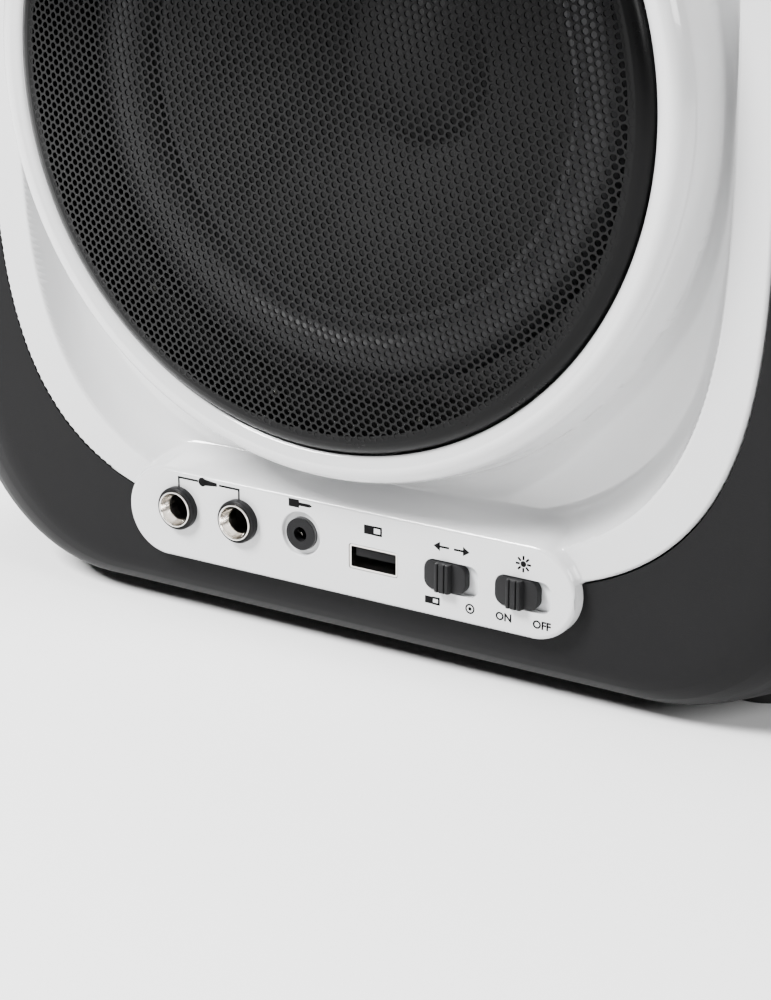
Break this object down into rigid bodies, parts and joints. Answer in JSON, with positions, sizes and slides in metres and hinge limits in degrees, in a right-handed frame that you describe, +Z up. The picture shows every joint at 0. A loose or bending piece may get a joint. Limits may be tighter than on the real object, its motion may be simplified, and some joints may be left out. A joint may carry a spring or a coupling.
{
  "type": "karaoke machine with disc tray",
  "caption": "Portable karaoke machine: black case, domed speaker grille in a white bezel, socket and switch strip, disc tray, sloping control panel and carry handle.",
  "frame": {"origin": "on the floor, in the middle of the case's width and of its overall depth", "axes": "+X to the right seen from the front, the front faces -Y, +Z up"},
  "size_m": [0.3, 0.25, 0.3364],
  "materials": {
    "case_black": "fine satin texture",
    "panel_black": "satin",
    "bezel_white": "glossy white",
    "jack_black": "moulded black",
    "switch_black": "moulded black",
    "nickel": "bright nickel plate",
    "grille_steel": "black satin paint",
    "ring_plastic": "satin black",
    "circuit_board": "solder mask",
    "basket_steel": "black paint",
    "magnet_ferrite": "ferrite",
    "cone_paper": "pressed paper",
    "surround_rubber": "grey rubber",
    "rubber": "soft black",
    "tray_plastic": "satin dark grey",
    "chassis_plastic": "moulded grey",
    "gear_plastic": "acetal",
    "deck_steel": "zinc plated",
    "rod_steel": "ground steel",
    "sled_plastic": "moulded",
    "lens_glass": "coated lens",
    "turntable_plastic": "moulded",
    "display_glass": "smoked window",
    "button_white": "glossy white",
    "knob_black": "satin",
    "pot_metal": "stamped",
    "handle_plastic": "satin",
    "socket_gold": "plated",
    "inlet_black": "moulded"
  },
  "bodies": {
    "cabinet": {"front_shell": "case_black", "rear_shell": "case_black", "control_panel": "panel_black", "jack_plate": "panel_black", "front_bezel": "bezel_white", "mic_jack_rings": "jack_black", "mic_jack_bodies": "jack_black", "aux_jack": "jack_black", "usb_tongue": "jack_black", "slide_switches": "switch_black", "mic_jack_nuts": "nickel", "usb_shell": "nickel", "speaker_grille": "grille_steel", "retaining_ring": "ring_plastic", "input_board": "circuit_board", "light_board": "circuit_board", "panel_circuit": "circuit_board", "main_board": "circuit_board", "speaker_basket": "basket_steel", "speaker_magnet": "magnet_ferrite", "speaker_cone": "cone_paper", "speaker_surround": "surround_rubber", "feet": "rubber", "drive_belt": "rubber", "drive_chassis": "chassis_plastic", "clamp_bridge": "chassis_plastic", "loading_motor": "deck_steel", "case_screws": "rod_steel", "display_window": "display_glass", "knob_pots": "pot_metal", "phono_jacks": "socket_gold", "power_inlet": "inlet_black"},
    "tray": {"disc_tray": "tray_plastic", "tray_front": "bezel_white"},
    "drive_wheel": {"drive_gear": "gear_plastic"},
    "belt_wheel": {"belt_gear": "gear_plastic"},
    "motor_wheel": {"motor_pulley": "gear_plastic"},
    "deck": {"deck_frame": "deck_steel", "spindle_motor": "deck_steel", "guide_rod": "rod_steel", "sled_motor": "deck_steel"},
    "disc_table": {"turntable": "turntable_plastic"},
    "screw": {"lead_screw": "rod_steel"},
    "sled": {"laser_sled": "sled_plastic", "sled_lens": "lens_glass"},
    "puck": {"clamp_puck": "turntable_plastic"},
    "function_switch": {"function_slide": "switch_black"},
    "light_switch": {"light_slide": "switch_black"},
    "handle": {"carry_handle": "handle_plastic", "handle_grip": "rubber"},
    "power_key": {"power_button": "button_white"},
    "stop_key": {"stop_button": "button_white"},
    "back_key": {"back_button": "button_white"},
    "play_key": {"play_button": "button_white"},
    "next_key": {"next_button": "button_white"},
    "open_key": {"open_button": "button_white"},
    "mic_one_dial": {"mic_one_knob": "knob_black"},
    "mic_two_dial": {"mic_two_knob": "knob_black"},
    "echo_dial": {"echo_knob": "knob_black"},
    "volume_dial": {"volume_knob": "knob_black"}
  },
  "joints": [
    {"name": "tray_slide", "type": "slide", "parent": "cabinet", "child": "tray", "axis": [0, -1, 0], "range_m": [0, 0.128]},
    {"name": "drive_wheel_spin", "type": "hinge", "parent": "cabinet", "child": "drive_wheel", "pos_m": [0.045, -0.076, 0.266], "axis": [0, 0, 1], "range_deg": [-615, 2]},
    {"name": "belt_wheel_spin", "type": "hinge", "parent": "cabinet", "child": "belt_wheel", "pos_m": [0.02, -0.076, 0.26], "axis": [0, 0, 1], "range_deg": [-5, 1580]},
    {"name": "motor_wheel_spin", "type": "hinge", "parent": "cabinet", "child": "motor_wheel", "pos_m": [-0.018, -0.076, 0.256], "axis": [0, 0, 1], "range_deg": [-10, 3160]},
    {"name": "deck_tilt", "type": "hinge", "parent": "cabinet", "child": "deck", "pos_m": [0, 0.05, 0.26], "axis": [1, 0, 0], "range_deg": [0, 5]},
    {"name": "disc_table_spin", "type": "hinge", "parent": "deck", "child": "disc_table", "pos_m": [0, -0.035, 0.27], "axis": [0, 0, 1], "continuous": true},
    {"name": "sled_slide", "type": "slide", "parent": "deck", "child": "sled", "axis": [0, 1, 0], "range_m": [0, 0.033]},
    {"name": "screw_spin", "type": "hinge", "parent": "deck", "child": "screw", "pos_m": [0.026, 0.01, 0.2685], "axis": [0, 1, 0], "range_deg": [-10, 3980]},
    {"name": "puck_spin", "type": "hinge", "parent": "cabinet", "child": "puck", "pos_m": [0, -0.035, 0.288], "axis": [0, 0, 1], "continuous": true},
    {"name": "function_move", "type": "slide", "parent": "cabinet", "child": "function_switch", "axis": [1, 0, 0], "range_m": [0, 0.0032]},
    {"name": "light_move", "type": "slide", "parent": "cabinet", "child": "light_switch", "axis": [1, 0, 0], "range_m": [0, 0.0032]},
    {"name": "power_press", "type": "slide", "parent": "cabinet", "child": "power_key", "axis": [0, 0.3746, -0.9272], "range_m": [0, 0.001], "stiffness_N_per_m": 300},
    {"name": "stop_press", "type": "slide", "parent": "cabinet", "child": "stop_key", "axis": [0, 0.3746, -0.9272], "range_m": [0, 0.001], "stiffness_N_per_m": 300},
    {"name": "back_press", "type": "slide", "parent": "cabinet", "child": "back_key", "axis": [0, 0.3746, -0.9272], "range_m": [0, 0.001], "stiffness_N_per_m": 300},
    {"name": "play_press", "type": "slide", "parent": "cabinet", "child": "play_key", "axis": [0, 0.3746, -0.9272], "range_m": [0, 0.001], "stiffness_N_per_m": 300},
    {"name": "next_press", "type": "slide", "parent": "cabinet", "child": "next_key", "axis": [0, 0.3746, -0.9272], "range_m": [0, 0.001], "stiffness_N_per_m": 300},
    {"name": "open_press", "type": "slide", "parent": "cabinet", "child": "open_key", "axis": [0, 0.3746, -0.9272], "range_m": [0, 0.001], "stiffness_N_per_m": 300},
    {"name": "mic_one_turn", "type": "hinge", "parent": "cabinet", "child": "mic_one_dial", "pos_m": [-0.11, -0.05023, 0.31977], "axis": [0, 0.3746, -0.9272], "range_deg": [0, 280]},
    {"name": "mic_two_turn", "type": "hinge", "parent": "cabinet", "child": "mic_two_dial", "pos_m": [-0.076, -0.05023, 0.31977], "axis": [0, 0.3746, -0.9272], "range_deg": [0, 280]},
    {"name": "echo_turn", "type": "hinge", "parent": "cabinet", "child": "echo_dial", "pos_m": [0.076, -0.05023, 0.31977], "axis": [0, 0.3746, -0.9272], "range_deg": [0, 280]},
    {"name": "volume_turn", "type": "hinge", "parent": "cabinet", "child": "volume_dial", "pos_m": [0.11, -0.05023, 0.31977], "axis": [0, 0.3746, -0.9272], "range_deg": [0, 280]},
    {"name": "handle_swing", "type": "hinge", "parent": "cabinet", "child": "handle", "pos_m": [0, 0.062, 0.327], "axis": [-1, 0, 0], "range_deg": [0, 90]}
  ],
  "couplings": [
    {"joint": "drive_wheel_spin", "follows": "tray_slide", "rad_per_m": -83.333},
    {"joint": "belt_wheel_spin", "follows": "tray_slide", "rad_per_m": 214.29},
    {"joint": "motor_wheel_spin", "follows": "tray_slide", "rad_per_m": 428.57},
    {"joint": "screw_spin", "follows": "sled_slide", "rad_per_m": 2094.4}
  ]
}
